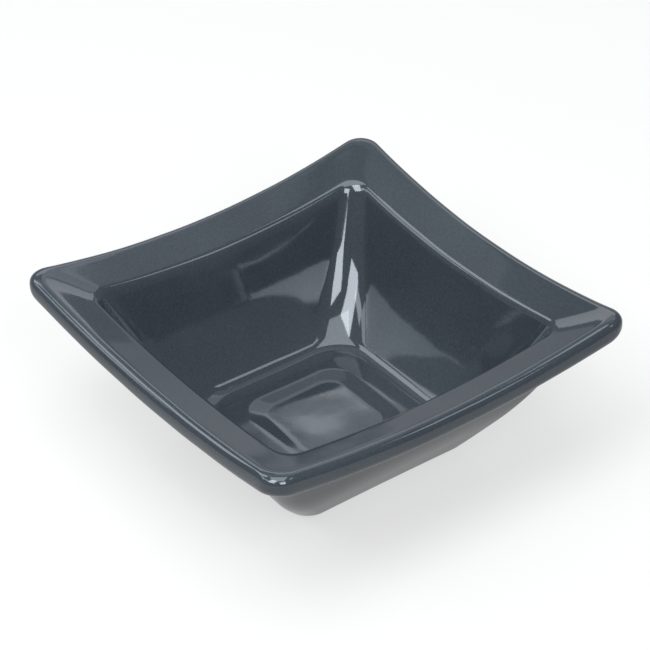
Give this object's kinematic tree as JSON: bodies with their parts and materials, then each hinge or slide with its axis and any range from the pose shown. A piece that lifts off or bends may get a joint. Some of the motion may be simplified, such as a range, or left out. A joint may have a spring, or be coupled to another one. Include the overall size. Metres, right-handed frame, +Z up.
{
  "type": "square bowl",
  "caption": "Square glazed stoneware bowl with a broad rim that rises to its corners, sloping walls, a dished floor and a bare foot ring.",
  "frame": {"origin": "centre of the foot ring, in the plane that the bowl stands on", "axes": "+Z up out of the bowl's mouth, +X and +Y square to two of its sides"},
  "size_m": [0.13, 0.13, 0.0534],
  "materials": {
    "stoneware_body": "bare fired clay, fine-grained and matt; it shows only on the foot ring",
    "glaze_coat": "gloss slate-grey glaze, slightly uneven",
    "base_glaze": "gloss slate-grey glaze, slightly uneven"
  },
  "bodies": {
    "root": {"stoneware_body": "stoneware_body", "glaze_coat": "glaze_coat", "base_glaze": "base_glaze"}
  },
  "joints": []
}
